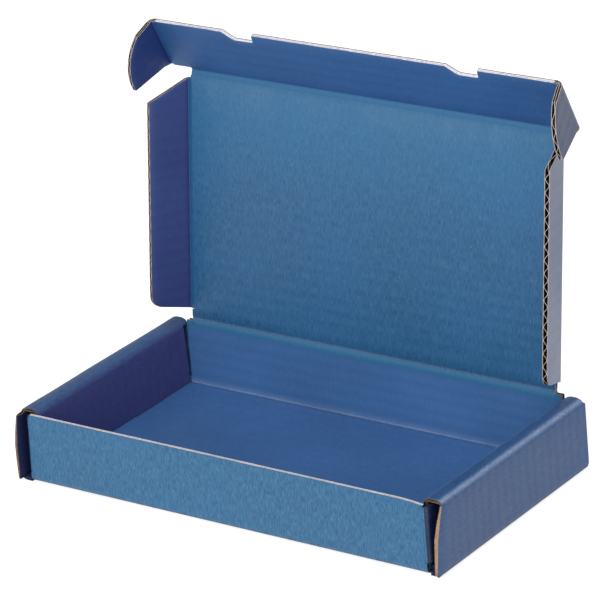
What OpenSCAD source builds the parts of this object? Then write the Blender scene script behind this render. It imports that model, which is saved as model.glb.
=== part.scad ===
// Corrugated mailer box: one die-cut sheet of fluted board, folded into a
// shallow tray with rolled side walls and a hinged lid.
// Frame: +X to the right, +Y to the rear, +Z up. The origin is the middle of
// the bottom panel's underside. The lid stands open.
// The flutes of the flat sheet run along X, so they stand upright in the side
// walls, run along Y in the corner flaps and across the lid's side flaps.

/* [Tray] */
// Outside width of the tray
box_w = 234; // [200:1:300]
// Outside depth of the tray, front face to rear face
box_d = 123; // [100:1:180]
// Height of the front wall
front_h = 34.2; // [28:0.1:50]
// Height of the rolled side walls
side_h = 35.6; // [30:0.1:52]
// How far the outer side panels stand in front of the front wall
side_reach = 2.8; // [2.8:0.1:4]
// Gap beside each corner flap that takes the lid's ears
ear_gap = 3.4; // [3.3:0.1:5]
// Length of the front corner flaps
corner_front = 40; // [25:1:50]
// Length of the rear corner flaps
corner_rear = 45; // [25:1:50]

/* [Board] */
// Thickness of the board
board = 2.5; // [2.3:0.1:2.7]
// Thickness of the board where it is squeezed in the rolled walls
squeezed = 2.2; // [2.0:0.1:2.3]
// Thickness of the strip along the top of a rolled wall
roll_t = 2.0; // [1.8:0.1:2.2]
// Length of one full wave of the fluting
pitch = 6.2; // [5.8:0.1:6.6]
// Thickness of each flat liner
liner = 0.3; // [0.25:0.01:0.35]
// Thickness of the waved paper between the liners
medium = 0.25; // [0.2:0.01:0.3]
// Outside radius of a fold
fold_r = 2; // [1.6:0.1:2.2]
// Running gap at a hinge crease
crease_gap = 0.15; // [0.1:0.01:0.3]

/* [Lid] */
// Opening angle of the lid, 0 when shut
lid_open = 97.4; // [90:0.1:105]
// Half distance between the creases of the side flaps
flap_x = 104; // [98:0.1:104]
// Width of each side flap
flap_w = 24; // [15:0.1:26]
// Fold of the side flaps out of the lid's plane
flap_fold = 74.5; // [74:0.1:90]
// Near end of the side flaps, from the hinge crease
flap_start = 4.7; // [4:0.1:14]
// Far end of the side flaps at their creases
flap_top = 118.5; // [111:0.1:119]
// Far end of the side flaps at the free edge
flap_end = 109.5; // [90:0.1:110]

/* [Tuck flap and ears] */
// Length of the tuck flap from its crease
tuck_l = 30.7; // [26:0.1:32]
// Fold of the tuck flap out of the lid's plane
tuck_fold = 34.2; // [0:0.1:90]
// Fold of the left ear out of the tuck flap's plane
ear_fold_left = 84; // [76:0.5:90]
// Fold of the right ear out of the tuck flap's plane
ear_fold_right = 76; // [76:0.5:90]
// Radius of the round edge of the ears
ear_r = 21.6; // [18:0.1:22]

/* [Hidden] */
$fn = 64;
eps = 0.01;

half = box_w / 2;                       // outer face of a side wall
slot_out = half - board;                // inner face of an outer side panel
slot_in = slot_out - ear_gap;           // outer face of a corner flap
flap_in = slot_in - squeezed;           // inner face of a corner flap
inner_out = flap_in - 0.1;              // outer face of an inner side panel
inner_in = inner_out - board;           // inner face of an inner side panel
y0 = box_d / 2;                         // outer faces of front and rear wall
roll_front = -(y0 - 4.6);               // front end of the rolled top
roll_rear = y0 - 1.2;                   // rear end of the rolled top
roll_under = side_h - roll_t;           // underside of the rolled top
inner_rear = y0 - board - 0.6;          // rear end of an inner side panel
reach = 1.3;                            // how near a flute comes to a fold

hinge_y = y0 - board / 2;               // hinge crease of the lid
hinge_z = side_h + 0.15 + board / 2;
knuckle = board / 2;                    // a crease's half round
clear = knuckle + crease_gap;           // panel end to a crease's axis
lid_l = hinge_y + y0 + 0.25 + board / 2; // hinge crease to tuck crease
ear_x = (slot_in + slot_out) / 2;       // crease of the ears
slope = (board - 2 * liner - medium);   // depth of one flute
half_base = pitch / 2 - 0.6;            // half width of a flute at its liner
half_tip = 0.5;                         // half width of a flute at its crest

// One flute: a prism along x from a to b, centred on y = i * pitch / 2, and
// open towards the upper or the lower liner in turn.
module flute(i, a, b, t = board) {
    s = (i % 2 == 0) ? 1 : -1;
    lo = -s * (t / 2 - liner);
    hi = s * (t / 2 - liner - medium);
    translate([a, i * pitch / 2, 0]) rotate([90, 0, 90]) linear_extrude(b - a)
        polygon([[-half_base, lo], [half_base, lo], [half_tip, hi], [-half_tip, hi]]);
}

// Numbers of the flutes that fit whole between p and q.
function rows(p, q) = [for (i = [ceil((p + liner + half_base) / (pitch / 2)) :
    floor((q - liner - half_base) / (pitch / 2))]) i];

// The waste outside a rounded fold, along z, in the corner x > 0, y > 0.
module fold_waste(r, l) {
    translate([-r, -r, 0]) linear_extrude(l) difference() {
        square(r + 1);
        circle(r);
    }
}

// Half of the tray's board, for the wall at +X.
module side_wall() {
    difference() {
        union() {
            // outer panel, with its front end standing proud
            translate([slot_out, -y0 - side_reach, 0]) cube([board, 2 * y0 + side_reach, side_h]);
            // strip over the top
            translate([inner_in, roll_front, roll_under]) cube([half - inner_in, roll_rear - roll_front, roll_t]);
            // inner panel and its two tabs
            translate([inner_in, roll_front + 0.25, board + 0.1])
                cube([board, inner_rear - roll_front - 0.25, side_h - board - 0.1]);
            for (y = [-36, 14]) translate([inner_in + 0.2, y, 0.4]) cube([board - 0.4, 22, board]);
        }
        // rounded folds at the foot and at both edges of the rolled top
        translate([half, -y0 - 10, 0]) rotate([-90, 0, 0]) fold_waste(fold_r, 2 * y0 + 20);
        translate([half, y0 + 10, side_h]) rotate([90, 0, 0]) fold_waste(1.6, 2 * y0 + 20);
        translate([inner_in, y0 + 10, side_h]) mirror([1, 0, 0]) rotate([90, 0, 0]) fold_waste(1.6, 2 * y0 + 20);
        // the front end is cut lower than the rolled top and its foot is cut back
        translate([slot_out - 1, -y0 - side_reach - 1, side_h - 0.8]) cube([board + 2, y0 + side_reach + 1 + roll_front - 0.1, 2]);
        translate([slot_out - 1, -y0 - side_reach - 1, -1]) cube([board + 2, side_reach + 1, 1.9]);
        for (i = rows(roll_front + 0.5, inner_rear - 0.3)) {
            translate([slot_out + board / 2, 0, 0]) rotate([0, -90, 0]) flute(i, reach, side_h - 1.1);
            translate([0, 0, roll_under + roll_t / 2]) flute(i, inner_in + reach, half - reach, roll_t);
            translate([inner_in + board / 2, 0, 0]) rotate([0, -90, 0]) flute(i, board - 1, side_h - 1.1);
        }
    }
}

// Corner flaps at +X: folded back from the front wall and forward from the rear wall.
module corner_flaps() {
    z0 = board + side_reach + 0.4;
    z1 = roll_under - 0.25;
    difference() {
        union() {
            translate([flap_in, 0, 0]) rotate([90, 0, 90]) linear_extrude(squeezed)
                polygon([[-y0, z0], [-y0 + corner_front - 5, z0], [-y0 + corner_front, z0 + 8],
                         [-y0 + corner_front, z1 - 6], [-y0 + corner_front - 4, z1], [-y0, z1]]);
            translate([flap_in, 0, 0]) rotate([90, 0, 90]) linear_extrude(squeezed)
                polygon([[y0, z0], [y0 - corner_rear + 5, z0], [y0 - corner_rear, z0 + 8],
                         [y0 - corner_rear, z1 - 6], [y0 - corner_rear + 4, z1], [y0, z1]]);
        }
        for (i = rows(z0 + 0.2, z1 - 0.2))
            translate([flap_in + squeezed / 2, 0, 0]) rotate([90, 0, 90]) corner_flute(i);
    }
}

// A flute of the corner flaps, drawn in the plane of a flap: it starts near the
// fold and runs out at the free end.
module corner_flute(i) {
    flute(i, -y0 + 1.2, -y0 + corner_front + 1, squeezed);
    flute(i, y0 - corner_rear - 1, y0 - 1.2, squeezed);
}

module walls_and_bottom() {
    z0 = board + 0.3;
    z1 = roll_under - 0.25;
    difference() {
        union() {
            translate([-half, -y0, 0]) cube([box_w, box_d, board]);
            translate([-slot_in, -y0, 0]) cube([2 * slot_in, board, front_h]);
            translate([-slot_in, y0 - board, 0]) cube([2 * slot_in, board, z1]);
            translate([-flap_x + clear, y0 - board, 0]) cube([2 * (flap_x - clear), board, hinge_z - clear]);
        }
        for (i = rows(roll_front + 0.5, inner_rear - 0.3))
            translate([0, 0, board / 2]) flute(i, -half + reach, half - reach);
        for (i = rows(z0 + 0.2, z1 - 0.2), y = [-y0 + board / 2, y0 - board / 2])
            translate([0, y, 0]) rotate([90, 0, 0]) flute(i, -slot_in + 1.2, slot_in - 1.2);
        // slots that take the tabs of the inner side panels
        for (s = [-1, 1], y = [-36, 14])
            translate([s * (inner_in + board / 2) - board / 2 - 0.1, y - 0.3, -1]) cube([board + 0.2, 22.6, board + 2]);
    }
}

module tray() {
    color([0.24, 0.40, 0.58]) difference() {
        union() {
            walls_and_bottom();
            for (s = [0, 1]) mirror([s, 0, 0]) { side_wall(); corner_flaps(); }
        }
        // rounded folds along the foot of the front, rear and side walls
        for (s = [0, 1]) mirror([0, s, 0])
            translate([half + 10, y0, 0]) rotate([0, -90, 0]) mirror([1, 0, 0]) fold_waste(fold_r, box_w + 20);
        for (s = [0, 1]) mirror([s, 0, 0])
            translate([half, y0 + 10, 0]) mirror([0, 0, 1]) rotate([90, 0, 0]) fold_waste(fold_r, 2 * y0 + 10 - eps);
        // rounded upright folds of the corner flaps
        for (s = [0, 1], u = [0, 1]) mirror([s, 0, 0]) mirror([0, u, 0])
            translate([slot_in, y0, board + eps]) fold_waste(fold_r, side_h);
    }
}

// Places a shape from the lid's own frame: x across, y from the hinge crease
// towards the tuck crease, z towards the lid's inner side.
module in_lid() {
    translate([0, hinge_y, hinge_z]) rotate([180 - lid_open, 0, 0]) children();
}

// Frame of the tuck flap: y runs from its crease to its free edge.
module in_tuck() {
    in_lid() translate([0, lid_l, 0]) rotate([tuck_fold, 0, 0]) children();
}

module lid() {
    color([0.20, 0.46, 0.62]) in_lid() difference() {
        union() {
            rotate([0, 90, 0]) translate([0, 0, -flap_x + clear]) cylinder(r = knuckle, h = 2 * (flap_x - clear));
            translate([-flap_x + clear, 0, -board / 2]) cube([2 * (flap_x - clear), lid_l - clear, board]);
        }
        for (i = rows(1.5, lid_l - clear)) flute(i, -flap_x, flap_x);
        // the inner edges beside the side flaps are pressed down by the crease
        for (s = [0, 1]) mirror([s, 0, 0]) translate([flap_x - clear, -1, 0]) rotate([-90, 0, 0])
            linear_extrude(lid_l + 2) polygon([[eps, -0.25], [-0.34, -board / 2 - eps], [eps, -board / 2 - eps]]);
    }
}

// Side flap, drawn towards +x from its crease at x = 0. Its edge near the hinge
// slants by one in five and rounds into the free edge.
module side_flap() {
    round_x = flap_w - 7;
    round_y = flap_start + 0.2 * round_x + 7 * sqrt(1.04);
    difference() {
        union() {
            translate([0, flap_start, 0]) rotate([-90, 0, 0]) cylinder(r = knuckle, h = flap_top - flap_start);
            translate([0, 0, -board / 2]) linear_extrude(board) union() {
                polygon([[0, flap_start], [round_x + 1.4 / sqrt(1.04), round_y - 7 / sqrt(1.04)],
                         [round_x, round_y], [flap_w, round_y], [flap_w, flap_end], [0, flap_top]]);
                translate([round_x, round_y]) circle(7);
            }
        }
        for (i = rows(flap_start + 0.3, flap_top - 1)) flute(i, 1.9, flap_w + 1);
    }
}

module side_flap_left() {
    color([0.14, 0.18, 0.34]) in_lid() translate([-flap_x, 0, 0]) rotate([0, flap_fold, 0]) mirror([1, 0, 0]) side_flap();
}

module side_flap_right() {
    color([0.52, 0.56, 0.68]) in_lid() translate([flap_x, 0, 0]) rotate([0, -flap_fold, 0]) side_flap();
}

// Thumb notch in the tuck flap's free edge: one end slanted, the other square.
module thumb_notch() {
    translate([0, tuck_l, -board]) linear_extrude(2 * board)
        polygon([[-9.5, 1], [-9.5, 0], [-5.2, -3.6], [-3.4, -4.6], [6.5, -4.6], [7.6, -3.5], [7.6, 1]]);
}

module tuck_flap() {
    color([0.15, 0.34, 0.54]) in_tuck() difference() {
        union() {
            rotate([0, 90, 0]) translate([0, 0, -flap_x + 3]) cylinder(r = knuckle, h = 2 * flap_x - 6);
            translate([-flap_x + 3, 0, -board / 2]) cube([2 * flap_x - 6, 4, board]);
            translate([-ear_x + clear, 1.5, -board / 2]) cube([2 * (ear_x - clear), tuck_l - 1.5, board]);
        }
        for (i = rows(1.5, tuck_l)) flute(i, -ear_x, ear_x);
        for (x = [-62, 62]) translate([x, 0, 0]) thumb_notch();
    }
}

// Ear of the tuck flap, drawn towards +x from its crease at x = 0.
module ear() {
    difference() {
        union() {
            translate([0, 2, 0]) rotate([-90, 0, 0]) cylinder(r = knuckle, h = tuck_l - 2.5);
            translate([0, 0, -board / 2]) linear_extrude(board) intersection() {
                translate([4.7, 10]) circle(ear_r, $fn = 96);
                polygon([[0, 1.6], [5.5, 4.2], [40, 11.4], [40, tuck_l - 0.3], [0, tuck_l - 0.3]]);
            }
        }
        for (i = rows(4, tuck_l)) flute(i, 1.9, 30);
    }
}

module ear_left() {
    color([0.14, 0.18, 0.34]) in_tuck() translate([-ear_x, 0, 0]) rotate([0, ear_fold_left, 0]) mirror([1, 0, 0]) ear();
}

module ear_right() {
    color([0.55, 0.58, 0.70]) in_tuck() translate([ear_x, 0, 0]) rotate([0, -ear_fold_right, 0]) ear();
}

tray();
lid();
side_flap_left();
side_flap_right();
tuck_flap();
ear_left();
ear_right();
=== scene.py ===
import math

import bmesh
import bpy
import numpy as np
from mathutils import Matrix, Vector

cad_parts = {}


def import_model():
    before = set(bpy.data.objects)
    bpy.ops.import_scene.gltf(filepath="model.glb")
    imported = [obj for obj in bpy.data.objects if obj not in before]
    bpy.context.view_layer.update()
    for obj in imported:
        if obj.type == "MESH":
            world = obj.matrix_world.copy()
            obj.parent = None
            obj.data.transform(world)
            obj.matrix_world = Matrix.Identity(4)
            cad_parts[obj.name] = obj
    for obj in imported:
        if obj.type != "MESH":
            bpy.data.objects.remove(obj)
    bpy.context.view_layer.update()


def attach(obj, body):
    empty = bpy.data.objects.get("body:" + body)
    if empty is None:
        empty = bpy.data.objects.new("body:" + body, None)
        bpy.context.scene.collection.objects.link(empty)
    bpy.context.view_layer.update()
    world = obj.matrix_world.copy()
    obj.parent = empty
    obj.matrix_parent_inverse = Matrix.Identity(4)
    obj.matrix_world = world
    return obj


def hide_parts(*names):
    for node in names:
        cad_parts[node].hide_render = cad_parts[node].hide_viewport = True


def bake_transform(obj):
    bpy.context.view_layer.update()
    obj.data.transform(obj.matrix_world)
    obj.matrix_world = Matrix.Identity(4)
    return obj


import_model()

# ---------------------------------------------------------------- sizes, mm
T = 2.5                      # board
LINER = 0.3
MEDIUM = 0.25
PITCH = 6.2                  # one wave of the fluting
HALF = 117.0                 # half the tray's width
Y0 = 61.5                    # half the tray's depth
FRONT_H = 34.2
SIDE_H = 35.6
HINGE = Vector((0.0, Y0 - T / 2, SIDE_H + 0.15 + T / 2))
LID_L = HINGE.y + Y0 + 0.25 + T / 2
LID_OPEN = math.radians(97.4)
FLAP_X = 104.0
FLAP_FOLD = 74.5
FLAP_W = 26.1
TUCK_FOLD = math.radians(34.2)
TUCK_L = 30.7
EAR_X = 112.8
EAR_LEFT, EAR_RIGHT = 84.0, 76.0
SEAM = 3.4                   # how far a flap's mesh reaches into its parent panel

X = Vector((1, 0, 0))
V = Vector((0, -math.cos(LID_OPEN), math.sin(LID_OPEN)))     # up the lid
M = X.cross(V)                                               # out of its inner face
TUCK = HINGE + LID_L * V
S = math.cos(TUCK_FOLD) * V + math.sin(TUCK_FOLD) * M        # up the tuck flap
Q = X.cross(S)


def smooth(t):
    t = np.clip(t, 0.0, 1.0)
    return t * t * (3 - 2 * t)


def hashed(i, k=0.0):
    """A repeatable number from 0 to 1 for each whole number."""
    v = np.sin(np.asarray(i, float) * 12.9898 + k * 78.233) * 43758.5453
    return v - np.floor(v)


def waves(x, seed, length, octaves=3):
    """Smooth repeatable noise from -1 to 1 along x."""
    x = np.asarray(x, float) / length
    out, amp, tot = 0.0, 1.0, 0.0
    for o in range(octaves):
        f = x * (2 ** o) + 17.3 * seed + 5.1 * o
        i = np.floor(f)
        t = f - i
        t = t * t * (3 - 2 * t)
        out = out + amp * ((1 - t) * hashed(i, seed) + t * hashed(i + 1, seed))
        tot += amp
        amp *= 0.5
    return 2 * out / tot - 1


class Path:
    """A folded centre line in a plane: straight runs joined by arcs."""

    def __init__(self, points, radii, start=0.0):
        self.segs = []
        self.folds = []
        s = start
        here = np.array(points[0], float)
        n = len(points)
        for k in range(1, n):
            p = np.array(points[k], float)
            d = p - here
            length = np.linalg.norm(d)
            u = d / length
            if k < n - 1:
                w = np.array(points[k + 1], float) - p
                w = w / np.linalg.norm(w)
                turn = math.atan2(u[0] * w[1] - u[1] * w[0], float(u @ w))
                cut = radii[k - 1] * math.tan(abs(turn) / 2)
            else:
                turn, cut = 0.0, 0.0
            run = length - cut
            ang = math.atan2(u[1], u[0])
            self.segs.append(("line", s, s + run, here.copy(), ang))
            s += run
            end = here + u * run
            if k < n - 1:
                r = radii[k - 1]
                arc = r * abs(turn)
                self.segs.append(("arc", s, s + arc, end.copy(), ang, r, turn))
                self.folds.append((s, s + arc))
                s += arc
                here = p + w * cut
        self.start, self.end = start, s

    def at(self, s):
        s = np.asarray(s, float)
        pos = np.zeros(s.shape + (2,))
        ang = np.zeros(s.shape)
        last = len(self.segs) - 1
        for k, g in enumerate(self.segs):
            lo = -1e9 if k == 0 else g[1]
            hi = 1e9 if k == last else g[2]
            pick = (s >= lo) & (s < hi)
            if not pick.any():
                continue
            t = s[pick] - g[1]
            if g[0] == "line":
                pos[pick] = g[3] + t[:, None] * np.array([math.cos(g[4]), math.sin(g[4])])
                ang[pick] = g[4]
            else:
                sign = 1 if g[6] > 0 else -1
                a = g[4] + sign * t / g[5]
                c = g[3] + g[5] * sign * np.array([-math.sin(g[4]), math.cos(g[4])])
                pos[pick] = c + g[5] * sign * np.stack([np.sin(a), -np.cos(a)], 1)
                ang[pick] = a
        return pos, ang

    def stations(self, k, steps=7):
        """Places along fold k, both ends and the run-in on each side."""
        a, b = self.folds[k]
        return [a - 1.2, a - 0.5] + [a + (b - a) * i / steps for i in range(steps + 1)] + [b + 0.5, b + 1.2]

    def crush(self, s, wide=1.5, deep=0.42, skip=()):
        """How thin the board is near the folds, 1 on the flat."""
        s = np.asarray(s, float)
        out = np.ones(s.shape)
        for k, (a, b) in enumerate(self.folds):
            if k in skip:
                continue
            mid, reach = (a + b) / 2, (b - a) / 2 + wide
            out = np.minimum(out, 1 - deep * (1 - smooth(np.abs(s - mid) / reach)))
        return out


def fill(points, step):
    """The sorted stations with the gaps over step divided evenly."""
    pts = sorted(set(round(p, 4) for p in points))
    keep = [pts[0]]
    for p in pts[1:]:
        if p - keep[-1] > 0.02:
            keep.append(p)
    out = [keep[0]]
    for p in keep[1:]:
        n = max(1, int(math.ceil((p - out[-1]) / step - 1e-6)))
        a = out[-1]
        out += [a + (p - a) * i / n for i in range(1, n + 1)]
    return np.array(out)


class Board:
    """Corrugated board from grids of blank coordinates: a along the flutes, b across them.
    Each grid becomes three closed sheets: the outer liner, the waved medium, and the inner liner."""

    def __init__(self):
        self.verts, self.faces, self.mats, self.blank, self.wear_and_highlight_levels = [], [], [], [], []
        self.wear_and_highlight = None
        self.ends_as = None
        self.outer_edge = 2
        self.faces_as = None

    def add(self, A, B, keep, place, half, flip=False, opens=None, inner=0, outer=1):
        A, B = np.asarray(A, float), np.asarray(B, float)
        self._slab(A, B, keep, place, lambda a, b: half(a, b) - LINER, lambda a, b: half(a, b), 4, inner, 2, flip, opens)
        self._slab(A, B, keep, place, lambda a, b: -half(a, b), lambda a, b: LINER - half(a, b), outer, 4, self.outer_edge, flip, opens)
        # the medium needs finer steps across the flutes
        cols = [0]
        Bj = B.mean(0)
        js = []
        for j in range(A.shape[1] - 1):
            n = max(1, int(math.ceil(abs(Bj[j + 1] - Bj[j]) / 0.56)))
            js += [j + i / n for i in range(n)]
        js.append(A.shape[1] - 1)
        js = np.array(js)
        j0 = np.minimum(np.floor(js).astype(int), A.shape[1] - 2)
        t = js - j0
        A2 = A[:, j0] * (1 - t) + A[:, j0 + 1] * t
        B2 = B[:, j0] * (1 - t) + B[:, j0 + 1] * t
        k2 = np.array(keep)[:, j0[:-1]]

        def middle(a, b):
            top = half(a, b) - LINER - MEDIUM / 2 + 0.02
            return top * np.cos(2 * math.pi * b / PITCH)

        self._slab(A2, B2, k2, place, lambda a, b: middle(a, b) - MEDIUM / 2, lambda a, b: middle(a, b) + MEDIUM / 2, 4, 4, 3, flip, opens)

    def seal(self, a, edge_at, place, half, toward, flip=False, deep=0.14, m=3):
        """The medium pressed flat between the liners at a cut along the flutes."""
        a = np.asarray(a, float)
        A = np.repeat(a[:, None], 2, 1)
        near, far = edge_at - toward * deep, edge_at - toward * (deep + 0.5)
        B = np.stack([far, near] if toward > 0 else [near, far], 1)
        keep = np.ones((len(a) - 1, 1), bool)
        self._slab(A, B, keep, place, lambda p, q: LINER - half(p, q) - 0.01, lambda p, q: half(p, q) - LINER + 0.01, m, m, m, flip, None)

    def _slab(self, A, B, keep, place, low, high, m_low, m_high, m_side, flip, opens):
        ni, nj = A.shape
        keep = np.asarray(keep, bool)
        used = np.zeros((ni, nj), bool)
        used[:-1, :-1] |= keep
        used[1:, :-1] |= keep
        used[:-1, 1:] |= keep
        used[1:, 1:] |= keep
        ids = -np.ones((ni, nj), int)
        n = int(used.sum())
        if n == 0:
            return
        base = len(self.blank)
        ids[used] = np.arange(n)
        a, b = A[used], B[used]
        lo, hi = low(a, b), high(a, b)
        pl, ph = place(a, b, lo), place(a, b, hi)
        self.verts.append(pl)
        self.verts.append(ph)
        self.blank += list(np.stack([a, b, lo], 1)) + list(np.stack([a, b, hi], 1))
        wear_and_highlight_levels = np.clip(self.wear_and_highlight(a, b), 0, 1) if self.wear_and_highlight else np.zeros(n)
        self.wear_and_highlight_levels += [wear_and_highlight_levels, wear_and_highlight_levels]
        L = base + ids
        H = base + n + ids
        F, Mt = self.faces, self.mats

        def face(q, m):
            F.append(q[::-1] if flip else q)
            Mt.append(m)

        for i in range(ni - 1):
            for j in range(nj - 1):
                if not keep[i, j]:
                    continue
                m_top, m_under = m_high, m_low
                if self.faces_as is not None:
                    am, bm_ = (A[i, j] + A[i + 1, j]) / 2, (B[i, j] + B[i, j + 1]) / 2
                    m_top, m_under = self.faces_as(am, bm_, m_high), self.faces_as(am, bm_, m_low)
                face((H[i, j], H[i + 1, j], H[i + 1, j + 1], H[i, j + 1]), m_top)
                face((L[i, j], L[i, j + 1], L[i + 1, j + 1], L[i + 1, j]), m_under)
                for (p, q, other) in (((i, j), (i + 1, j), (i, j - 1)), ((i + 1, j), (i + 1, j + 1), (i + 1, j)),
                                      ((i + 1, j + 1), (i, j + 1), (i, j + 1)), ((i, j + 1), (i, j), (i - 1, j))):
                    oi, oj = other
                    if 0 <= oi < ni - 1 and 0 <= oj < nj - 1 and keep[oi, oj]:
                        continue
                    if opens is not None and opens((A[p] + A[q]) / 2, (B[p] + B[q]) / 2):
                        continue
                    side = m_side
                    if self.ends_as is not None:
                        side = self.ends_as((A[p] + A[q]) / 2, (B[p] + B[q]) / 2, m_side)
                    face((L[p], L[q], H[q], H[p]), side)

    def build(self, name, materials, body=None, angle=32):
        v = np.concatenate(self.verts) * 0.001
        me = bpy.data.meshes.new(name)
        me.from_pydata(v.tolist(), [], [tuple(int(x) for x in f) for f in self.faces])
        for m in materials:
            me.materials.append(m)
        me.polygons.foreach_set("material_index", self.mats)
        at = me.attributes.new("blank", "FLOAT_VECTOR", "POINT")
        at.data.foreach_set("vector", np.asarray(self.blank, np.float32).ravel() * 0.001)
        wa = me.attributes.new("wear_and_highlight", "FLOAT", "POINT")
        wa.data.foreach_set("value", np.concatenate(self.wear_and_highlight_levels).astype(np.float32))
        me.validate()
        bm = bmesh.new()
        bm.from_mesh(me)
        bmesh.ops.remove_doubles(bm, verts=bm.verts, dist=2e-6)
        bm.to_mesh(me)
        bm.free()
        for p in me.polygons:
            p.use_smooth = True
        me.set_sharp_from_angle(angle=math.radians(angle))
        ob = bpy.data.objects.new(name, me)
        bpy.context.scene.collection.objects.link(ob)
        if body:
            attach(ob, body)
        return ob


# ---------------------------------------------------------------- materials
def nodes_of(mat):
    mat.use_nodes = True
    nt = mat.node_tree
    nt.nodes.clear()
    out = nt.nodes.new("ShaderNodeOutputMaterial")
    bsdf = nt.nodes.new("ShaderNodeBsdfPrincipled")
    nt.links.new(bsdf.outputs[0], out.inputs[0])
    return nt, bsdf


def maths(nt, op, a, b=None, c=None):
    n = nt.nodes.new("ShaderNodeMath")
    n.operation = op
    for k, v in enumerate((a, b, c)):
        if v is None:
            continue
        if isinstance(v, (int, float)):
            n.inputs[k].default_value = v
        else:
            nt.links.new(v, n.inputs[k])
    return n.outputs[0]


def noise(nt, vec, scale, detail=3.0, rough=0.55):
    n = nt.nodes.new("ShaderNodeTexNoise")
    n.inputs["Scale"].default_value = scale
    n.inputs["Detail"].default_value = detail
    n.inputs["Roughness"].default_value = rough
    nt.links.new(vec, n.inputs["Vector"])
    return n.outputs["Fac"]


def stretched(nt, blank, k, shift=0.0):
    n = nt.nodes.new("ShaderNodeMapping")
    n.inputs["Scale"].default_value = k
    n.inputs["Location"].default_value = (shift, 0.37 * shift, 0.0)
    nt.links.new(blank, n.inputs["Vector"])
    return n.outputs[0]


def ramp(nt, value, low, high, to_low=0.0, to_high=1.0):
    n = nt.nodes.new("ShaderNodeMapRange")
    n.interpolation_type = "SMOOTHSTEP"
    n.inputs["From Min"].default_value = low
    n.inputs["From Max"].default_value = high
    n.inputs["To Min"].default_value = to_low
    n.inputs["To Max"].default_value = to_high
    nt.links.new(value, n.inputs["Value"])
    return n.outputs[0]


def mixed(nt, fac, a, b, kind="MIX"):
    n = nt.nodes.new("ShaderNodeMix")
    n.data_type = "RGBA"
    n.blend_type = kind
    for sock, v in ((n.inputs[0], fac), (n.inputs[6], a), (n.inputs[7], b)):
        if isinstance(v, (int, float)):
            sock.default_value = v
        elif isinstance(v, tuple):
            sock.default_value = v + (1.0,)
        else:
            nt.links.new(v, sock)
    return n.outputs[2]


def printed(name, base, pale, streak=0.5, lines=0.12, rough=0.42, seed=0.0, layers=(), gloss=0.5):
    """The coated blue print: fine streaks across the flutes, faint lines over each flute,
    pale scuffs, and rubbed ink along the folds, which on some creases is also a painted highlight;
    layers add colour regions, among them painted shade and highlight bands."""
    mat = bpy.data.materials.new(name)
    nt, bsdf = nodes_of(mat)
    at = nt.nodes.new("ShaderNodeAttribute")
    at.attribute_type = "GEOMETRY"
    at.attribute_name = "blank"
    blank = at.outputs["Vector"]
    wn = nt.nodes.new("ShaderNodeAttribute")
    wn.attribute_type = "GEOMETRY"
    wn.attribute_name = "wear_and_highlight"
    wear_and_highlight = wn.outputs["Fac"]
    sep = nt.nodes.new("ShaderNodeSeparateXYZ")
    nt.links.new(blank, sep.inputs[0])
    b = sep.outputs["Y"]
    # flute lines, every half wave fainter than every whole one
    wob = noise(nt, stretched(nt, blank, (30, 18, 1), seed + 3), 1.0, 2.0)
    ph = maths(nt, "MULTIPLY_ADD", wob, 0.9, maths(nt, "MULTIPLY", b, 2 * math.pi * 1000 / PITCH))
    wave = maths(nt, "COSINE", ph)
    crest = ramp(nt, wave, 0.2, 1.0)
    # linen-like streaks
    fine = noise(nt, stretched(nt, blank, (2200, 320, 1), seed), 1.0, 3.0, 0.62)
    broad = noise(nt, stretched(nt, blank, (620, 110, 1), seed + 7), 1.0, 3.0)
    cloud = noise(nt, stretched(nt, blank, (17, 15, 1), seed + 11), 1.0, 4.0)
    grain = noise(nt, stretched(nt, blank, (1500, 1500, 1), seed + 5), 1.0, 1.0)
    dash = ramp(nt, noise(nt, stretched(nt, blank, (1400, 430, 1), seed + 21), 1.0, 1.0), 0.66, 0.78)
    col = base
    dark = tuple(c * 0.84 for c in base)
    mid = tuple(x * 0.52 + y * 0.48 for x, y in zip(base, TEAL))
    col = mixed(nt, ramp(nt, cloud, 0.3, 0.72), dark, base)
    for where, colour in layers:
        col = mixed(nt, where(nt, sep), col, colour)
    col = mixed(nt, maths(nt, "MULTIPLY", ramp(nt, fine, 0.40, 0.64), streak), col, mid)
    col = mixed(nt, maths(nt, "MULTIPLY", ramp(nt, broad, 0.42, 0.7), 0.5 * streak), col, mid)
    col = mixed(nt, maths(nt, "MULTIPLY", crest, lines), col, mid)
    col = mixed(nt, maths(nt, "MULTIPLY", dash, 0.5 * streak), col, mixed(nt, 0.5, TEAL, pale))
    # pale marks from the per-vertex wear values: rubbed ink, and on some creases a painted highlight
    scuff_and_highlight = maths(nt, "MULTIPLY", wear_and_highlight, ramp(nt, grain, 0.25, 0.75, 0.35, 1.0))
    col = mixed(nt, scuff_and_highlight, col, pale)
    nt.links.new(col, bsdf.inputs["Base Color"])
    r = ramp(nt, cloud, 0.25, 0.75, rough - 0.06, rough + 0.08)
    r = maths(nt, "MULTIPLY_ADD", wear_and_highlight, 0.25, r)
    nt.links.new(r, bsdf.inputs["Roughness"])
    bsdf.inputs["Specular IOR Level"].default_value = gloss
    h = maths(nt, "MULTIPLY", wave, 0.000035)
    h = maths(nt, "MULTIPLY_ADD", fine, 0.00005, h)
    h = maths(nt, "MULTIPLY_ADD", grain, 0.000012, h)
    h = maths(nt, "MULTIPLY_ADD", cloud, 0.0009, h)
    bump = nt.nodes.new("ShaderNodeBump")
    bump.inputs["Strength"].default_value = 0.8
    bump.inputs["Distance"].default_value = 1.0
    nt.links.new(h, bump.inputs["Height"])
    nt.links.new(bump.outputs[0], bsdf.inputs["Normal"])
    return mat


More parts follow.
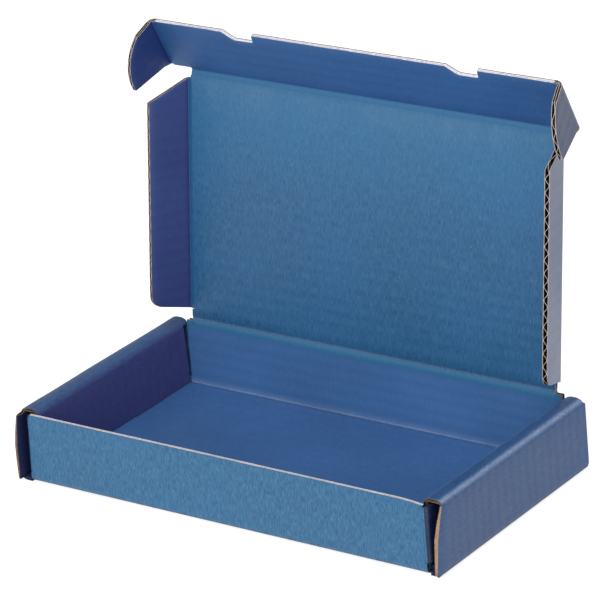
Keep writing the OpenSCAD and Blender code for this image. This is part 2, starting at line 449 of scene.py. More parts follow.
def bare(name, light, dark, seed, rough=0.85):
    """Uncoated paper at a cut edge or inside the board: fibres and specks."""
    mat = bpy.data.materials.new(name)
    nt, bsdf = nodes_of(mat)
    tc = nt.nodes.new("ShaderNodeAttribute")
    tc.attribute_type = "GEOMETRY"
    tc.attribute_name = "blank"
    v = tc.outputs["Vector"]
    fib = noise(nt, stretched(nt, v, (900, 2600, 3000), seed), 1.0, 3.0)
    big = noise(nt, stretched(nt, v, (160, 160, 400), seed + 4), 1.0, 2.0)
    col = mixed(nt, ramp(nt, fib, 0.35, 0.7), dark, light)
    col = mixed(nt, ramp(nt, big, 0.45, 0.75, 0.0, 0.45), col, dark)
    nt.links.new(col, bsdf.inputs["Base Color"])
    bsdf.inputs["Roughness"].default_value = rough
    bsdf.inputs["Specular IOR Level"].default_value = 0.2
    bump = nt.nodes.new("ShaderNodeBump")
    bump.inputs["Strength"].default_value = 0.6
    bump.inputs["Distance"].default_value = 0.0001
    nt.links.new(fib, bump.inputs["Height"])
    nt.links.new(bump.outputs[0], bsdf.inputs["Normal"])
    return mat


PALE = (0.42, 0.52, 0.70)
TEAL = (0.080, 0.275, 0.390)
edge = bare("cut_liner", (0.50, 0.48, 0.50), (0.26, 0.21, 0.19), 1.0)
# the tan cut-edge liner of the side panels is partly the paper's own tone and partly painted shade, darker for edges
# facing the front
edge_tan = bare("cut_liner_tan", (0.36, 0.26, 0.17), (0.19, 0.13, 0.09), 1.5)
edge_pale = bare("cut_liner_pale", (0.80, 0.79, 0.84), (0.52, 0.47, 0.47), 1.8)
core_pale = bare("cut_medium_pale", (0.80, 0.80, 0.88), (0.52, 0.48, 0.50), 2.2)
edge_brown = bare("cut_liner_brown", (0.26, 0.18, 0.12), (0.12, 0.08, 0.055), 2.9)
# the tan medium of the side panels is partly the paper's own tone and partly painted shade
core_tan = bare("cut_medium_tan", (0.44, 0.30, 0.175), (0.26, 0.17, 0.095), 2.7)
core = bare("cut_medium", (0.62, 0.55, 0.47), (0.36, 0.27, 0.20), 2.0)
# painted shade: the paper inside the flutes is darkened far below the medium's colour to stand for the shade in the
# hollows
hollow_shade = bare("flute_inside_painted_shade", (0.060, 0.042, 0.030), (0.030, 0.020, 0.014), 2.5)


def near_tuck(nt, sep):
    """Lighter just under the tuck crease, fading down the lid."""
    return ramp(nt, sep.outputs["Y"], 0.060, 0.122, 0.0, 0.55)


def past_foot(nt, sep):
    """The inner face of an outer side panel, beyond the foot fold, painted in deep shade."""
    return ramp(nt, sep.outputs["X"], 0.1150, 0.1166)


def past_roll(nt, sep):
    """The inner side panel, beyond the rolled top."""
    return ramp(nt, sep.outputs["X"], 0.1550, 0.1586)


def roll_top(nt, sep):
    return maths(nt, "MULTIPLY", ramp(nt, sep.outputs["X"], 0.1462, 0.1490), ramp(nt, sep.outputs["X"], 0.1535, 0.1560, 1.0, 0.0))


def before(x, axis="X"):
    """The strip of the parent panel that a flap's mesh starts with."""
    return lambda nt, sep: ramp(nt, sep.outputs[axis], x - 0.0005, x + 0.0003, 1.0, 0.0)


def band(low, high, soft=0.0004, axis="Y"):
    """Between two distances on the blank, with soft ends."""
    def where(nt, sep):
        v = maths(nt, "ABSOLUTE", sep.outputs[axis])
        return maths(nt, "MULTIPLY", ramp(nt, v, low - soft, low + soft), ramp(nt, v, high - soft, high + soft, 1.0, 0.0))
    return where


def under_hinge_highlight(nt, sep):
    """The top of the rear wall, just below the lid's crease, where a painted highlight goes."""
    return ramp(nt, sep.outputs["Y"], -0.0014, -0.0006, 0.9, 0.0)


LID = (0.013, 0.088, 0.225)
LID_TOP = (0.022, 0.132, 0.275)
TUCK_IN = (0.022, 0.086, 0.258)
# painted highlight: the lighter teal band along the hinge crease
HINGE_HIGHLIGHT = (0.026, 0.150, 0.300)
SHADE = (0.010, 0.018, 0.060)
# painted shade for faces deep inside the double side walls
DEEP_SHADE = (0.014, 0.018, 0.085)
lid_in = printed("print_lid_inside", LID, PALE, 0.42, 0.05, 0.45, 1.0, [(near_tuck, LID_TOP), (under_hinge_highlight, HINGE_HIGHLIGHT)], 0.4)
lid_out = printed("print_lid_outside", LID, PALE, 0.26, 0.05, 0.42, 2.0)
tuck_in = printed("print_tuck_inside", TUCK_IN, PALE, 0.16, 0.04, 0.55, 3.0, [(before(LID_L * 0.001, "Y"), tuple((x + 2 * y) / 3 for x, y in zip(LID, LID_TOP)))], 0.3)
tuck_out = printed("print_tuck_outside", LID, PALE, 0.26, 0.05, 0.42, 4.0)
flap_in = printed("print_flap_inside", (0.042, 0.060, 0.212), PALE, 0.10, 0.04, 0.46, 5.0, [(before(FLAP_X * 0.001), LID)], 0.4)
ear_in = printed("print_ear_inside", (0.020, 0.042, 0.180), PALE, 0.05, 0.03, 0.46, 5.5, [(before(EAR_X * 0.001), TUCK_IN)], 0.4)
grey_out = printed("print_flap_outside", (0.062, 0.085, 0.180), PALE, 0.10, 0.04, 0.40, 6.0)
ear_out = printed("print_ear_outside", (0.020, 0.036, 0.108), PALE, 0.10, 0.04, 0.42, 6.5, (), 0.4)
floor_in = printed("print_tray_inside", (0.034, 0.092, 0.255), PALE, 0.22, 0.03, 0.46, 7.0, [(past_foot, DEEP_SHADE)], 0.4)
# rear wall inside: painted highlight just below the hinge crease, and painted shade in the gaps past the wall's ends
wall_in = printed("print_wall_inside", (0.056, 0.150, 0.368), PALE, 0.28, 0.03, 0.46, 8.0,
                  [(band(0.0912, 0.1100, 0.0012), HINGE_HIGHLIGHT), (band(0.1061, 0.2, 0.0003, "X"), SHADE)], 0.4)
front_out = printed("print_front_outside", (0.014, 0.088, 0.216), PALE, 0.66, 0.02, 0.47, 9.0, [(band(0.0588, 0.0606), SHADE)], 0.35)
side_out = printed("print_side_outside", (0.020, 0.052, 0.165), PALE, 0.26, 0.015, 0.42, 10.0,
                   [(past_roll, (0.062, 0.052, 0.190)), (band(0.1146, 0.1164, 0.0004, "X"), SHADE)], 0.34)
rear_out = printed("print_rear_outside", (0.016, 0.092, 0.225), PALE, 0.26, 0.05, 0.42, 11.0)
# painted shade: a near-black ink for the corner flaps and for faces deep in the corner slots and double walls
corner_shade = printed("painted_shade_corner_flap", (0.008, 0.010, 0.052), PALE, 0.05, 0.03, 0.60, 12.0, (), 0.15)


def crisp(d, reach, deep):
    """Board thinned by the die along a cut edge at distance d."""
    return 1 - deep * (1 - smooth(np.asarray(d) / reach))


# a pale line along a fold or cut: rubbed ink, and on some creases a painted highlight
def line_wear_and_highlight(x, at, wide, strength):
    return strength * np.exp(-((np.asarray(x) - at) / wide) ** 2)


# ---------------------------------------------------------------- lid
def v2(p):
    return (p.y, p.z)


up = Path([(Y0 - T / 2, 33.2), v2(HINGE), v2(HINGE + LID_L * V)], [1.2], start=33.2 - HINGE.z)


def on_lid_line(path):
    """Places blank points on a line in the Y-Z plane, with x along the flutes."""
    def place(a, b, n):
        pos, ang = path.at(b)
        out = np.zeros((len(a), 3))
        out[:, 0] = a
        out[:, 1] = pos[:, 0] - np.sin(ang) * n
        out[:, 2] = pos[:, 1] + np.cos(ang) * n
        return out
    return place


def lid_half(a, b):
    h = 1.25 * up.crush(b, 1.6, 0.40)
    h = h * np.where(np.abs(b) < 40, crisp(102.5 - np.abs(a), 0.9, 0.18), 1)
    return h


def lid_wear(a, b):
    w = line_wear_and_highlight(b, 0.0, 0.8, 0.16) + line_wear_and_highlight(b, -1.6, 0.5, 0.10)
    w = w + 0.10 * smooth((b - 100) / 20) * (0.5 + 0.5 * waves(a, 3, 1.3)) * smooth((121 - b) / 3)
    return w


NOTCH = 4.35
TOP_IN = 101.5
xs = fill([-102.5, -TOP_IN, -101.0, 101.0, TOP_IN, 102.5], 6.5)
bs = fill([up.start] + up.stations(0, 5) + [NOTCH, 4.7, 118.5, 118.9, LID_L - 3.0], 3.1)
A, B = np.meshgrid(xs, bs, indexing="ij")
ac, bc = (A[:-1, :-1] + A[1:, 1:]) / 2, (B[:-1, :-1] + B[1:, 1:]) / 2
keep = (np.abs(ac) < 101.0) | (bc < NOTCH) | ((bc > 118.9) & (np.abs(ac) < TOP_IN))
lid = Board()


def lid_open_edge(a, b):
    return (abs(abs(a) - 101.0) < 0.01 and 4.7 < b < 118.5) or b < up.start + 0.01 or (b > LID_L - 3.01 and abs(a) <= 101.0)


lid.wear_and_highlight = lid_wear
lid.add(A, B, keep, on_lid_line(up), lid_half, opens=lid_open_edge)
lid_ob = lid.build("lid_panel", [lid_in, lid_out, edge, core, hollow_shade])

# ---------------------------------------------------------------- tuck flap
over = Path([v2(HINGE + (LID_L - 3.0) * V), v2(TUCK), v2(TUCK + (TUCK_L + 1) * S)], [1.3], start=LID_L - 3.0)
fold_mid = (over.folds[0][0] + over.folds[0][1]) / 2
FREE = fold_mid + TUCK_L - 0.05
NOTCHES = [(-9.5, 0.0), (-5.2, 3.6), (-3.4, 4.6), (6.5, 4.6), (7.6, 3.5), (7.62, 0.0)]


def free_edge(x):
    d = np.zeros_like(x)
    for c in (-62.0, 62.0):
        px = [c - 9.51] + [c + p[0] for p in NOTCHES] + [c + 7.64]
        pd = [0.0] + [p[1] for p in NOTCHES] + [0.0]
        d = d + np.interp(x, px, pd)
    return FREE - d - 0.25 * (waves(x, 5, 9.0) * 0.5 + 0.5)


def tuck_half(a, b):
    h = 1.25 * over.crush(b, 1.6, 0.40)
    h = h * crisp(free_edge(np.asarray(a, float)) - b, 2.2, 0.30 + 0.10 * waves(a, 6, 5.0))
    return h


def tuck_wear(a, b):
    w = line_wear_and_highlight(b, fold_mid - 1.2, 0.6, 0.08)
    w = w + line_wear_and_highlight(free_edge(np.asarray(a, float)) - b, 0.0, 0.35, 0.2)
    return w


xs = [-109.8, -102.0, -101.0, 101.0, 102.0, 109.8]
for c in (-62.0, 62.0):
    xs += [c + p[0] for p in NOTCHES] + [c - 9.51, c + 7.64]
xs = fill(xs, 4.2)
rows_b = fill([over.start] + over.stations(0, 5) + [fold_mid + 1.6, fold_mid + 4.0, fold_mid + 23.0], 3.1)
tail = np.array([0.25, 0.5, 0.7, 0.85, 0.94, 1.0])
A = np.repeat(xs[:, None], len(rows_b) + len(tail), 1)
B = np.zeros_like(A)
B[:, :len(rows_b)] = rows_b[None, :]
B[:, len(rows_b):] = rows_b[-1] + (free_edge(xs)[:, None] - rows_b[-1]) * tail[None, :]
ac, bc = (A[:-1, :-1] + A[1:, 1:]) / 2, (B[:-1, :-1] + B[1:, 1:]) / 2
keep = (np.abs(ac) < 101.0) | (bc > fold_mid + 1.6)
tuck = Board()


def tuck_open_edge(a, b):
    return b < over.start + 0.01 or (abs(abs(a) - 109.8) < 0.01 and b > fold_mid + 1.6)


tuck.wear_and_highlight = tuck_wear
tuck.outer_edge = 5
tuck.add(A, B, keep, on_lid_line(over), tuck_half, opens=tuck_open_edge)
tuck.seal(xs, free_edge(xs), on_lid_line(over), tuck_half, 1)
tuck_ob = tuck.build("tuck_panel", [tuck_in, tuck_out, edge_pale, core_pale, hollow_shade, edge_brown])


# ---------------------------------------------------------------- side flaps and ears
def wing(name, side, x_seam, x_fold, angle, origin, along, out, b_from, b_to, width, shift, mats, body_b, wear_and_highlight, cut=0.2, bow=0.0):
    """A flap that folds about a crease along the direction `along`."""
    fold = math.radians(angle)
    line = Path([(x_seam, 0.0), (x_fold, 0.0), (x_fold + 60 * math.cos(fold), 60 * math.sin(fold))], [1.3], start=x_seam)
    mid = (line.folds[0][0] + line.folds[0][1]) / 2
    rows_at = fill(b_from + b_to, 2.4)
    base = fill([line.start] + line.stations(0, 6) + [mid + 3.4], 3.0)
    reach = mid + width(rows_at - shift)
    rest = np.linspace(0, 1, 7)[1:]
    A = np.zeros((len(base) + len(rest), len(rows_at)))
    for j, end in enumerate(reach):
        A[:len(base), j] = np.minimum(base, max(end, base[0] + 0.0))
        first = A[len(base) - 1, j]
        A[len(base):, j] = first + (max(end, first) - first) * rest
    Bg = np.repeat(rows_at[None, :], A.shape[0], 0)
    d = A[1:, :] - A[:-1, :]
    keep = (d[:, :-1] > 1e-3) | (d[:, 1:] > 1e-3)

    def place(a, b, n):
        pos, ang = line.at(a)
        px = pos[:, 0] - np.sin(ang) * n
        pm = pos[:, 1] + np.cos(ang) * n
        e = np.maximum(a - mid, 0)
        lift = bow * smooth(e / 8) * (0.6 * waves(b, 4 + side, 40.0) - 0.4 * (e / 24) ** 2)
        px = px - math.sin(fold) * lift
        pm = pm + math.cos(fold) * lift
        o, w, m = np.array(origin), np.array(along), np.array(out)
        return o + np.outer(b - shift, w) + np.outer(pm, m) + np.outer(side * px, np.array([1.0, 0, 0]))

    def half(a, b):
        end = mid + width(b - shift)
        return 1.25 * line.crush(a, 1.5, 0.38) * crisp(end - a, 1.4, cut)

    brd = Board()
    brd.wear_and_highlight = lambda a, b: wear_and_highlight(a - mid, b - shift)
    brd.add(A, Bg, keep, place, half, opens=lambda a, b: abs(a - x_seam) < 0.01, flip=side < 0)
    ob = brd.build(name, mats)
    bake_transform(ob)
    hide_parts(body_b)
    return ob


def flap_width(v):
    v = np.asarray(v, float)
    cy, cx = 4.7 + 0.2 * 17 + 7 * math.sqrt(1.04), 17.0
    ty = cy - 7 / math.sqrt(1.04)
    w = np.full(v.shape, 23.95)
    w = np.where(v < cy, cx + np.sqrt(np.clip(49 - (v - cy) ** 2, 0, None)), w)
    w = np.where(v < ty, (v - 4.7) / 0.2, w)
    w = np.where(v > 109.5, 23.95 * (118.5 - v) / 9.0, w)
    return np.clip(np.minimum(w, 23.95) - 0.0, 0.0, 23.95)


def ear_width(s):
    s = np.asarray(s, float)
    w = 4.7 + np.sqrt(np.clip(21.55 ** 2 - (s - 10) ** 2, 0, None))
    low = np.where(s < 4.2, (s - 1.6) / 2.6 * 5.5, 5.5 + (s - 4.2) * 34.5 / 7.2)
    return np.clip(np.minimum(w, low), 0.0, 30.0)


def flap_wear(e, v):
    return line_wear_and_highlight(e, 0.0, 0.6, 0.04) + line_wear_and_highlight(flap_width(v) - e, 0.0, 0.35, 0.06)


def ear_wear(e, s):
    return line_wear_and_highlight(e, 0.0, 0.6, 0.05) + line_wear_and_highlight(ear_width(s) - e, 0.0, 0.35, 0.06)


def inside_seam(f, low, high, reach):
    """Full width behind the crease, the outline beyond it."""
    return lambda v: np.where((v < low) | (v > high), 0.0, np.maximum(f(v), reach))


round_rows = [4.7 + 0.35 * k for k in range(12)] + [9.0, 9.9, 11.0, 12.4, 13.8, 15.24]
tops = [109.5, 111.2, 113.0, 115.0, 116.6, 117.8, 118.2, 118.5]
for side, nm, mats in ((-1, "side_flap_left", [flap_in, grey_out, edge, core, hollow_shade]), (1, "side_flap_right", [flap_in, grey_out, edge, core, hollow_shade])):
    wing(nm + "_board", side, 101.0, FLAP_X, FLAP_FOLD, HINGE, V, M, round_rows, tops, flap_width, 0.0, mats,
         nm, flap_wear, 0.30 if side < 0 else 0.0, 0.0)

ear_rows = [1.6, 2.0, 2.6, 3.4, 4.2, 4.8, 5.6, 6.6, 7.6, 8.6, 9.4]
ear_tops = [12.0, 14.5, 17.0, 19.5, 22.0, 24.0, 26.0, 27.6, 29.2, 30.3]
for side, nm, ang, mats in ((-1, "ear_left", EAR_LEFT, [ear_in, ear_out, edge, core, hollow_shade]), (1, "ear_right", EAR_RIGHT, [ear_in, ear_out, edge, core, hollow_shade])):
    wing(nm + "_board", side, 109.8, EAR_X, ang, TUCK, S, Q, [fold_mid + r for r in ear_rows], [fold_mid + r for r in ear_tops],
         ear_width, fold_mid, mats, nm, ear_wear, 0.30 if side < 0 else 0.15, 0.0)

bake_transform(lid_ob)
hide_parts("lid")
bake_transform(tuck_ob)
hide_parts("tuck_flap")

# ---------------------------------------------------------------- tray
FOOT = 1.1
INNER = 107.55                # middle of the inner side panel
CORNER = 110.0                # middle of a corner flap
BASE = 58.2                   # where the floor's mesh meets the end walls'
roll = Path([(0, 1.25), (HALF - T / 2, 1.25), (HALF - T / 2, SIDE_H - 1.0), (INNER, SIDE_H - 1.0), (INNER, 0.45)],
            [FOOT, 1.5, 1.5])
(f1a, f1b), (f2a, f2b), (f3a, f3b) = roll.folds
top_cut = f2a - 0.3 + 0.2                      # cut top of the front end of an outer panel
panel_end = roll.end - 2.2                     # lower edge of the inner panel
TABS = [(-36.0, -14.0), (14.0, 36.0)]


def strip_level(a):
    """1 on the rolled top, 0 on the upright panels."""
    return smooth((a - f2a + 0.6) / 1.6) * smooth((f3b + 0.6 - a) / 1.6)


def front_at(side, a):
    """How far forward the front end of an outer panel reaches, up its height."""
    a = np.asarray(a, float)
    up_ = np.clip((a - f1b) / (f2a - f1b), 0, 1)
    foot_ = np.clip(2 * (f1b - a) / (f1b - f1a), 0, 1)
    back = 7.3 * 0.30 * smooth((a - f1b - 12) / 21.0) ** 1.3 if side < 0 else 3.4 * up_ + 3.7 * smooth((up_ - 0.55) / 0.45)
    return -64.2 + 1.1 * foot_ ** 2 + back


def side_half(side):
    def half(a, b):
        a, b = np.asarray(a, float), np.asarray(b, float)
        h = 1.25 - 0.27 * strip_level(a)
        h = h * roll.crush(a, 1.5, 0.26)
        up_ = np.clip((a - f1b) / (f2a - f1b), 0, 1)
        thick = 0.46 if side < 0 else 0.24
        ends = 1 - np.sin(math.pi * np.clip(up_, 0, 1)) ** 0.6
        spindle = thick + np.where(up_ > 0.5, 0.52, 0.30) * (0.9 if side < 0 else 1.0) * ends
        spindle = np.clip(spindle, 0, 0.74)
        on_front = (a > f1b - 0.5) & (a < f2a + 0.5)
        h = h * np.where(on_front, crisp(b - front_at(side, a), 2.6, spindle), 1)
        h = h * np.where(a >= f2a, crisp(b + 56.9, 1.6, 0.16), 1)
        h = h * np.where(a > panel_end - 3, crisp(panel_end + 0.2 - a, 2.0, 0.2) * np.where(a > panel_end, 0.9, 1), 1)
        return h
    return half


def side_place(side):
    def place(a, b, n):
        pos, ang = roll.at(a)
        x = pos[:, 0] - np.sin(ang) * n
        z = pos[:, 1] + np.cos(ang) * n
        # the outer panel bows in a little between its ends, and its front end curls in under the roll
        lift = np.clip((z - 3) / 30, 0, 1) * np.where((a > f1b - 2) & (a < f2b + 1), 1.0, 0.0)
        near = smooth((-50 - b) / 9) if side > 0 else 0.0
        x = x - lift * 0.35 * (0.5 + 0.5 * waves(b, 2 + side, 46.0)) * np.where(a < f2a, 1 - near, 0.7)
        if side < 0:
            x = x - 0.35 * smooth((z - 20) / 15) * smooth((-55.5 - b) / 7.5) * np.where(a < f2a, 1, 0)
        # rolled top: slightly higher in its middle, dented here and there
        t = np.clip((a - f2b) / (f3a - f2b), 0, 1)
        on = strip_level(a)
        z = z - on * (0.22 * (2 * t - 1) ** 2 + 0.22 * (0.5 + 0.5 * waves(b, 8 + side, 17.0)))
        # the inner panel leans in at mid length
        inner = smooth((a - f3b + 1) / 6) * np.where(a > f3a, 1, 0)
        x = x - inner * 0.12 * (0.5 + 0.5 * waves(b, 12 + side, 30.0))
        return np.stack([side * x, b, z], 1)
    return place


def side_wear_and_highlight(side):
    # the pale line on the roll's top crease is rubbed ink, and on the right side, far stronger, a painted highlight
    top, inner = (0.10, 0.04) if side < 0 else (0.62, 0.22)

    def wear_and_highlight(a, b):
        w = line_wear_and_highlight(a, (f2a + f2b) / 2 + 0.2, 0.9, top * (0.8 + 0.2 * waves(b, 17, 8.0))) + line_wear_and_highlight(a, (f3a + f3b) / 2, 1.0, inner)
        return np.clip(w, 0, 0.8)
    return wear_and_highlight


sa = fill([0, 106.2, 108.5, 108.95, 110.9] + roll.stations(0, 6) + [f1b + 1.3, f1b + 3.0, top_cut] + roll.stations(1, 6) +
          roll.stations(2, 6) + [panel_end, roll.end], 8.0)
sb = [-64.2, -61.3, -BASE, -56.9, -56.6, BASE, 58.4, 60.3, 61.2, 61.45]
for lo, hi in TABS:
    sb += [lo - 0.3, lo, hi, hi + 0.3]
sb = fill(sb, 3.1)


f1m = (f1a + f1b) / 2


def side_mask(a, b):
    if a < f1b:
        ok = abs(b) < (BASE if a < 110.9 else 61.2) or (a > f1m and b < 0)
        if 106.2 < a < 108.95 and any(lo - 0.3 < b < hi + 0.3 for lo, hi in TABS):
            ok = False
        return ok
    if a < f2a:
        if b < -56.9 and a > top_cut:
            return False
        return b < 61.45
    if a < f3b:
        return -56.9 < b < 60.3
    if a < panel_end:
        return -56.6 < b < 58.4
    return any(lo < b < hi for lo, hi in TABS)


A0, B0 = np.meshgrid(sa, sb, indexing="ij")
ac, bc = (A0[:-1, :-1] + A0[1:, 1:]) / 2, (B0[:-1, :-1] + B0[1:, 1:]) / 2
keep = np.array([[side_mask(ac[i, j], bc[i, j]) for j in range(ac.shape[1])] for i in range(ac.shape[0])])
# the front end runs down to the middle of the foot fold, and further up it is set back to meet the rolled top
Bs = B0.copy()


def front_ends(side):
    out = Bs.copy()
    for i in range(len(sa)):
        if sa[i] > f2a + 0.01:
            continue
        edge = float(front_at(side, sa[i]))
        for j in range(len(sb)):
            if B0[i, j] < -61.35 and sa[i] < f1b:
                out[i, j] = edge if j == 0 else out[i, j]
            elif B0[i, j] < -56.9:
                out[i, j] = -56.9 + (Bs[i, j] + 56.9) * (edge + 56.9) / -7.3
    return out


# the rear end of each inner panel leaves a gap that widens upwards
for i in range(len(sa)):
    if sa[i] > f3b:
        rise = np.clip((panel_end - sa[i]) / (panel_end - f3b), 0, 1)
        for j in range(len(sb)):
            if B0[i, j] > 52:
                Bs[i, j] = B0[i, j] - (0.5 + 1.6 * rise) * (B0[i, j] - 52) / 6.4
sides = Board()


def side_opens(a, b):
    return (abs(abs(b) - BASE) < 0.01 and a < 110.95) or a < 0.01


def foot_ends(a, b, m):
    """The cut ends at the foot fold get painted deep shade, and the worn ends of the roll are brown."""
    if a < f1b - 0.2 and abs(b) > 58.0:
        return 5
    return 6 if a > top_cut or ends_brown else m


def hidden_faces(a, b, m):
    """The inner face of an outer panel, inside the double wall and in the corner slot, gets painted deep shade."""
    if m == 0 and 111.4 < a < f2a + 0.3:
        return 5
    return m


sides.ends_as = foot_ends
sides.faces_as = hidden_faces
end_rows = (sa >= f1b - 0.01) & (sa <= f2a + 0.01)
roll_rows = (sa >= f2a - 0.01) & (sa <= f3b + 0.01)
roll_end = int(np.argmin(np.abs(sb - 60.3)))
front_rows = (sa >= f1m - 0.01) & (sa <= top_cut + 0.01)
foot_rows = (sa >= 110.85) & (sa <= f1m + 0.01)
rear_rows = (sa >= 110.85) & (sa <= f1b + 0.01)
for side in (1, -1):
    ends_brown = side < 0
    fl = side < 0
    sides.wear_and_highlight = side_wear_and_highlight(side)
    Bf = front_ends(side)
    sides.seal(sa[front_rows], Bf[front_rows, 0], side_place(side), side_half(side), -1, flip=fl, deep=0.06)
    # the seals at the foot and rear cut ends use slot 5, the painted deep shade
    sides.seal(sa[foot_rows], np.full(foot_rows.sum(), -61.3), side_place(side), side_half(side), -1, flip=fl, deep=0.03, m=5)
    sides.seal(sa[rear_rows], np.full(rear_rows.sum(), 61.2), side_place(side), side_half(side), 1, flip=fl, deep=0.03, m=5)
    sides.seal(sa[end_rows], np.full(end_rows.sum(), 61.45), side_place(side), side_half(side), 1, flip=fl, deep=0.06)
    sides.seal(sa[roll_rows], Bs[roll_rows, roll_end], side_place(side), side_half(side), 1, flip=fl, deep=0.06)
    sides.add(A0, Bf, keep, side_place(side), side_half(side), opens=side_opens, flip=side < 0)
sides_ob = sides.build("tray_floor_and_sides", [floor_in, side_out, edge_tan, core_tan, hollow_shade, corner_shade, edge_brown])

# front and rear walls with their corner flaps
walls = Board()


def wall_line(top, radius=FOOT):
    return Path([(BASE, 1.25), (Y0 - T / 2, 1.25), (Y0 - T / 2, top)], [radius], start=BASE)


def spread(x, y, z):
    """The left end of the front wall spreads a little towards its foot."""
    return x - 1.5 * smooth((-x - 70) / 38) * smooth((-y - 58.2) / 1.9) * np.clip(1 - z / 33, 0, 1)


def wall_place(sx, sy, foot_line, plan):
    """Up the wall by b, and along the wall and round the upright corner by a."""
    def place(a, b, n):
        pos, ang = foot_line.at(b)
        u = pos[:, 0] - np.sin(ang) * n          # distance towards the wall
        z = pos[:, 1] + np.cos(ang) * n
        if plan is None:
            if sy < 0:                             # the right end of the front wall has sagged
                z = z - 0.9 * smooth((z - 20) / 14) * smooth((a - 98) / 12)
                u = u - 0.25 * smooth((z - 8) / 20) * (0.5 + 0.5 * waves(a, 14, 60.0))
                return np.stack([spread(sx * a, sy * u, z), sy * u, z], 1)
            return np.stack([sx * a, sy * u, z], 1)
        p2, g = plan.at(a)
        off = (Y0 - T / 2) - u                     # towards the inner side
        x = p2[:, 0] - np.sin(g) * off
        y = p2[:, 1] + np.cos(g) * off
        if sy < 0 and sx > 0:
            z = z - 0.9 * smooth((z - 20) / 14) * smooth((a - 98) / 12) * smooth((a - 98) / 12)
        if sy < 0:
            return np.stack([spread(sx * x, -sy * y, z), -sy * y, z], 1)
        return np.stack([sx * x, -sy * y, z], 1)
    return place


def wall_half(foot_line, top_z, plan=None, top_crush=0.3, flap_from=None):
    def half(a, b):
        a, b = np.asarray(a, float), np.asarray(b, float)
        h = 1.25 * foot_line.crush(b, 0.9, 0.3)
        if top_crush:
            h = h * crisp(top_z - b, 2.0, top_crush * (1 + 0.3 * waves(a, 21, 7.0)))
        if plan is not None:
            k = smooth((a - 108.5) / 1.6)
            h = h * (1 - 0.12 * k) * plan.crush(a, 1.3, 0.3)
        return h
    return half


def add_wall(sy, top, seam_top, reach, top_crush):
    line = wall_line(top)
    # blank distance at height z on the flat wall
    (g0, g1), = line.folds
    z_of = line.end - top                          # b - z on the upright part
    rows_low = [line.start] + line.stations(0, 6)
    cut = 5.7 + z_of
    flap_top = 33.3 + z_of
    # beside the lid's end of the hinge the rear wall stands as high as the crease
    wing_top = line.end + 2.2
    wall_rows = fill(rows_low + [cut, flap_top, line.end] + ([wing_top] if seam_top else []), 3.1)
    outer_flip = sy < 0
    xs = fill([-108.5, -105.9, -102.4, 102.4, 105.9, 108.5], 6.5)
    A, B = np.meshgrid(xs, wall_rows, indexing="ij")
    ac, bc = (A[:-1, :-1] + A[1:, 1:]) / 2, (B[:-1, :-1] + B[1:, 1:]) / 2
    keep = (bc < line.end) | ((np.abs(ac) > 102.4) & (np.abs(ac) < 105.9))

    def opens(a, b):
        if b < line.start + 0.01 or abs(abs(a) - 108.5) < 0.01:
            return True
        return seam_top and b > line.end - 0.01 and abs(a) < 102.45

    walls.add(A, B, keep, wall_place(1, sy, line, None), wall_half(line, line.end, None, top_crush), opens=opens, flip=outer_flip)
    if not seam_top:
        walls.seal(xs, np.full(len(xs), line.end), wall_place(1, sy, line, None), wall_half(line, line.end, None, top_crush), 1, flip=outer_flip)
    plan = Path([(0, -(Y0 - T / 2)), (CORNER, -(Y0 - T / 2)), (CORNER, -(Y0 - T / 2) + reach + 1.25)], [1.1])
    (c0, c1), = plan.folds
    for sx in (1, -1):
        flip = outer_flip if sx > 0 else not outer_flip
        # the wall's low end beside the bottom corner
        xs2 = fill([108.5, 109.2], 2.0)
        rows2 = fill(rows_low + [cut - 0.25], 3.1)
        A, B = np.meshgrid(xs2, rows2, indexing="ij")
        walls.add(A, B, np.ones((len(xs2) - 1, len(rows2) - 1), bool), wall_place(sx, sy, line, None),
                  wall_half(line, line.end, None, 0), opens=lambda a, b: abs(a - 108.5) < 0.01 or b < line.start + 0.01, flip=flip)
        # corner fold and corner flap
        stations = fill([108.5] + [s for s in plan.stations(0, 6) if s > 108.55] + [plan.end - 9, plan.end - 5, plan.end - 4, plan.end], 5.0)
        rows3 = fill([cut, cut + 8, flap_top - 6, flap_top - 4, flap_top], 3.1)
        A = np.zeros((len(stations), len(rows3)))
        for j, b in enumerate(rows3):
            low_cut = 5 * np.clip(1 - (b - cut) / 8, 0, 1)
            high_cut = 4 * np.clip((b - flap_top + 6) / 6, 0, 1)
            end = plan.end - max(low_cut, high_cut)
            t = np.clip((stations - (plan.end - 20)) / 20, 0, 1)
            A[:, j] = stations - t * (plan.end - end)
        B = np.repeat(rows3[None, :], len(stations), 0)
        # the corner flap's outer face uses slot 5, the painted deep shade
        walls.add(A, B, np.ones((len(stations) - 1, len(rows3) - 1), bool), wall_place(sx, sy, line, plan),
                  wall_half(line, flap_top, plan, 0.25), opens=lambda a, b: abs(a - 108.5) < 0.01, flip=flip, outer=5)


def front_wear(a, b):
    return line_wear_and_highlight(np.abs(a), 109.8, 0.5, 0.12)


def rear_wear_and_highlight(a, b):
    # the strong pale line along the floor crease is partly rubbed ink and partly a painted highlight
    return np.clip(line_wear_and_highlight(b, 60.9, 0.95, 0.95 + 0.35 * waves(a, 31, 6.0)) * (np.abs(a) < 106.2), 0, 1)


def wall_ends(a, b, m):
    """Only the long top edge is bare; the short cuts at the corners keep the wall's print near the foot and take
    painted shade elsewhere.
    """
    if abs(a) < 108.45:
        return m
    return 1 if b < 68.0 and abs(a) < 111.05 else 5


def wall_faces(a, b, m):
    """A corner flap's shade starts round the corner, past the fold's first half."""
    return 1 if m == 5 and abs(a) < 109.25 else m


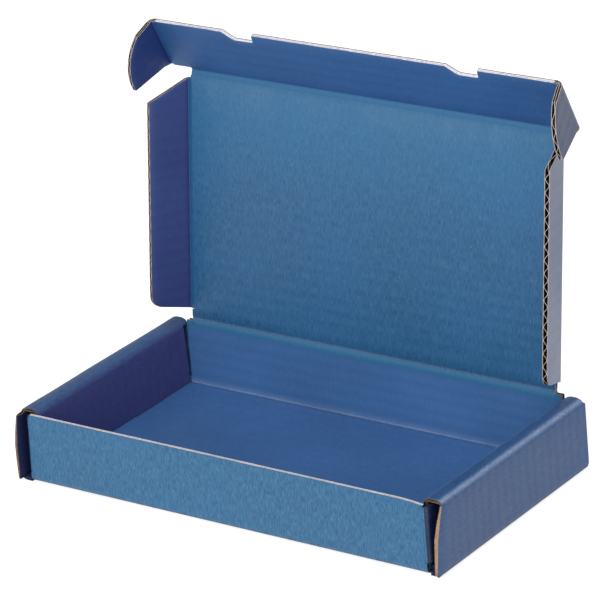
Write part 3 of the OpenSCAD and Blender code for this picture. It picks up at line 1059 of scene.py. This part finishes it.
walls.ends_as = wall_ends
walls.faces_as = wall_faces
walls.wear_and_highlight = front_wear
walls.outer_edge = 6
add_wall(-1, FRONT_H, False, 40, 0.34)
front_ob = walls.build("tray_front", [floor_in, front_out, edge_pale, core_pale, hollow_shade, corner_shade, edge_brown])
walls = Board()
walls.ends_as = wall_ends
walls.faces_as = wall_faces
walls.wear_and_highlight = rear_wear_and_highlight
add_wall(1, 33.2, True, 45, 0.0)
rear_ob = walls.build("tray_rear", [wall_in, rear_out, edge_brown, core, hollow_shade, corner_shade])
for ob in (sides_ob, front_ob, rear_ob):
    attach(ob, "tray")
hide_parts("tray")

# ---------------------------------------------------------------- stage, light, camera
scene = bpy.context.scene
me = bpy.data.meshes.new("floor")
me.from_pydata([(-6, -6, -0.0002), (6, -6, -0.0002), (6, 6, -0.0002), (-6, 6, -0.0002)], [], [(0, 1, 2, 3)])
floor = bpy.data.objects.new("floor", me)
scene.collection.objects.link(floor)
mat = bpy.data.materials.new("floor_white")
mat.use_nodes = True
nt = mat.node_tree
bs_ = nt.nodes["Principled BSDF"]
bs_.inputs["Base Color"].default_value = (0.4, 0.4, 0.4, 1)
bs_.inputs["Roughness"].default_value = 0.9
bs_.inputs["Emission Color"].default_value = (1, 1, 1, 1)
bs_.inputs["Emission Strength"].default_value = 0.80
me.materials.append(mat)

world = bpy.data.worlds.new("studio") if scene.world is None else scene.world
scene.world = world
world.use_nodes = True
bg = world.node_tree.nodes.get("Background") or world.node_tree.nodes.new("ShaderNodeBackground")
bg.inputs[0].default_value = (1, 1, 1, 1)
bg.inputs[1].default_value = 0.565


def area(name, where, aim, size, power, colour=(1, 1, 1)):
    data = bpy.data.lights.new(name, "AREA")
    data.shape = "SQUARE"
    data.size = size
    data.energy = power
    data.color = colour
    ob = bpy.data.objects.new(name, data)
    ob.location = where
    ob.rotation_euler = (Vector(aim) - Vector(where)).to_track_quat("-Z", "Y").to_euler()
    scene.collection.objects.link(ob)
    return ob


area("key", (0.25, -0.8, 2.2), (0, 0, 0.05), 1.1, 31)
area("front", (0.75, -2.1, 1.15), (0, 0, 0.06), 1.5, 20)

C = Vector((1027.69, -1365.98, 798.67)) * 0.001
az, el, turn, focal = 0.6417, 0.3947, -0.0858, 4092.88
d = Vector((-math.sin(az) * math.cos(el), math.cos(az) * math.cos(el), -math.sin(el)))
r = Vector((math.cos(az), math.sin(az), 0))
u = r.cross(d)
r2 = math.cos(turn) * r + math.sin(turn) * u
u2 = -math.sin(turn) * r + math.cos(turn) * u
cam_data = bpy.data.cameras.new("camera")
cam_data.sensor_width = 36.0
cam_data.sensor_fit = "HORIZONTAL"
cam_data.lens = 36.0 * focal / 600.0
cam_data.clip_start = 0.05
cam_data.clip_end = 50
cam = bpy.data.objects.new("camera", cam_data)
m = Matrix((r2, u2, -d)).transposed().to_4x4()
m.translation = C
cam.matrix_world = m
scene.collection.objects.link(cam)
scene.camera = cam
scene.view_settings.view_transform = "Standard"
scene.view_settings.look = "None"
